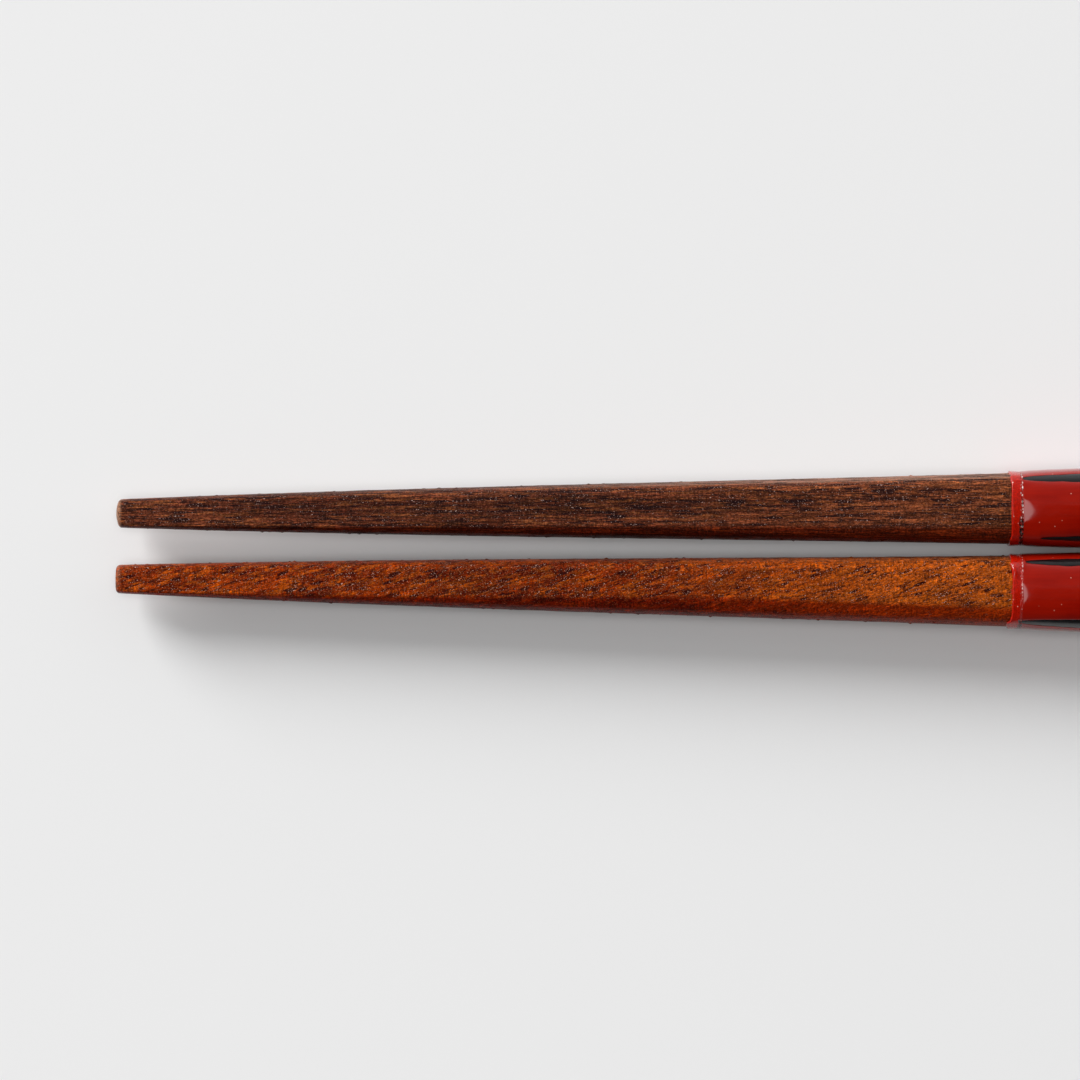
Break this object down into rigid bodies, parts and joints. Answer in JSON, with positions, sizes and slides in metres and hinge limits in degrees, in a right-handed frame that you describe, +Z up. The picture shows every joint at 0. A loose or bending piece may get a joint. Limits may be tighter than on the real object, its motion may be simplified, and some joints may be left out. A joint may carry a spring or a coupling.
{
  "type": "chopstick pair",
  "caption": "Pair of tapered square wooden chopsticks with bare wood tips and red lacquered handles rubbed through to black along the corners.",
  "frame": {"origin": "middle of the pair's box, on the surface that the handles lie on", "axes": "+X from the tips to the butts along the pair, +Y from the amber stick to the dark one, +Z up"},
  "size_m": [0.225, 0.02, 0.0092],
  "materials": {
    "dark_hardwood": "wiped clear lacquer, satin, over dark straight-grained hardwood",
    "amber_hardwood": "wiped clear lacquer, satin, over orange-brown hardwood with dark pores",
    "black_lacquer": "black lacquer undercoat, satin where it is rubbed bare",
    "red_lacquer": "red lacquer topcoat, glossy"
  },
  "bodies": {
    "root": {"dark_stick_wood": "dark_hardwood", "dark_stick_black_undercoat": "black_lacquer", "dark_stick_red_lacquer": "red_lacquer", "amber_stick_wood": "amber_hardwood", "amber_stick_black_undercoat": "black_lacquer", "amber_stick_red_lacquer": "red_lacquer"}
  },
  "joints": []
}
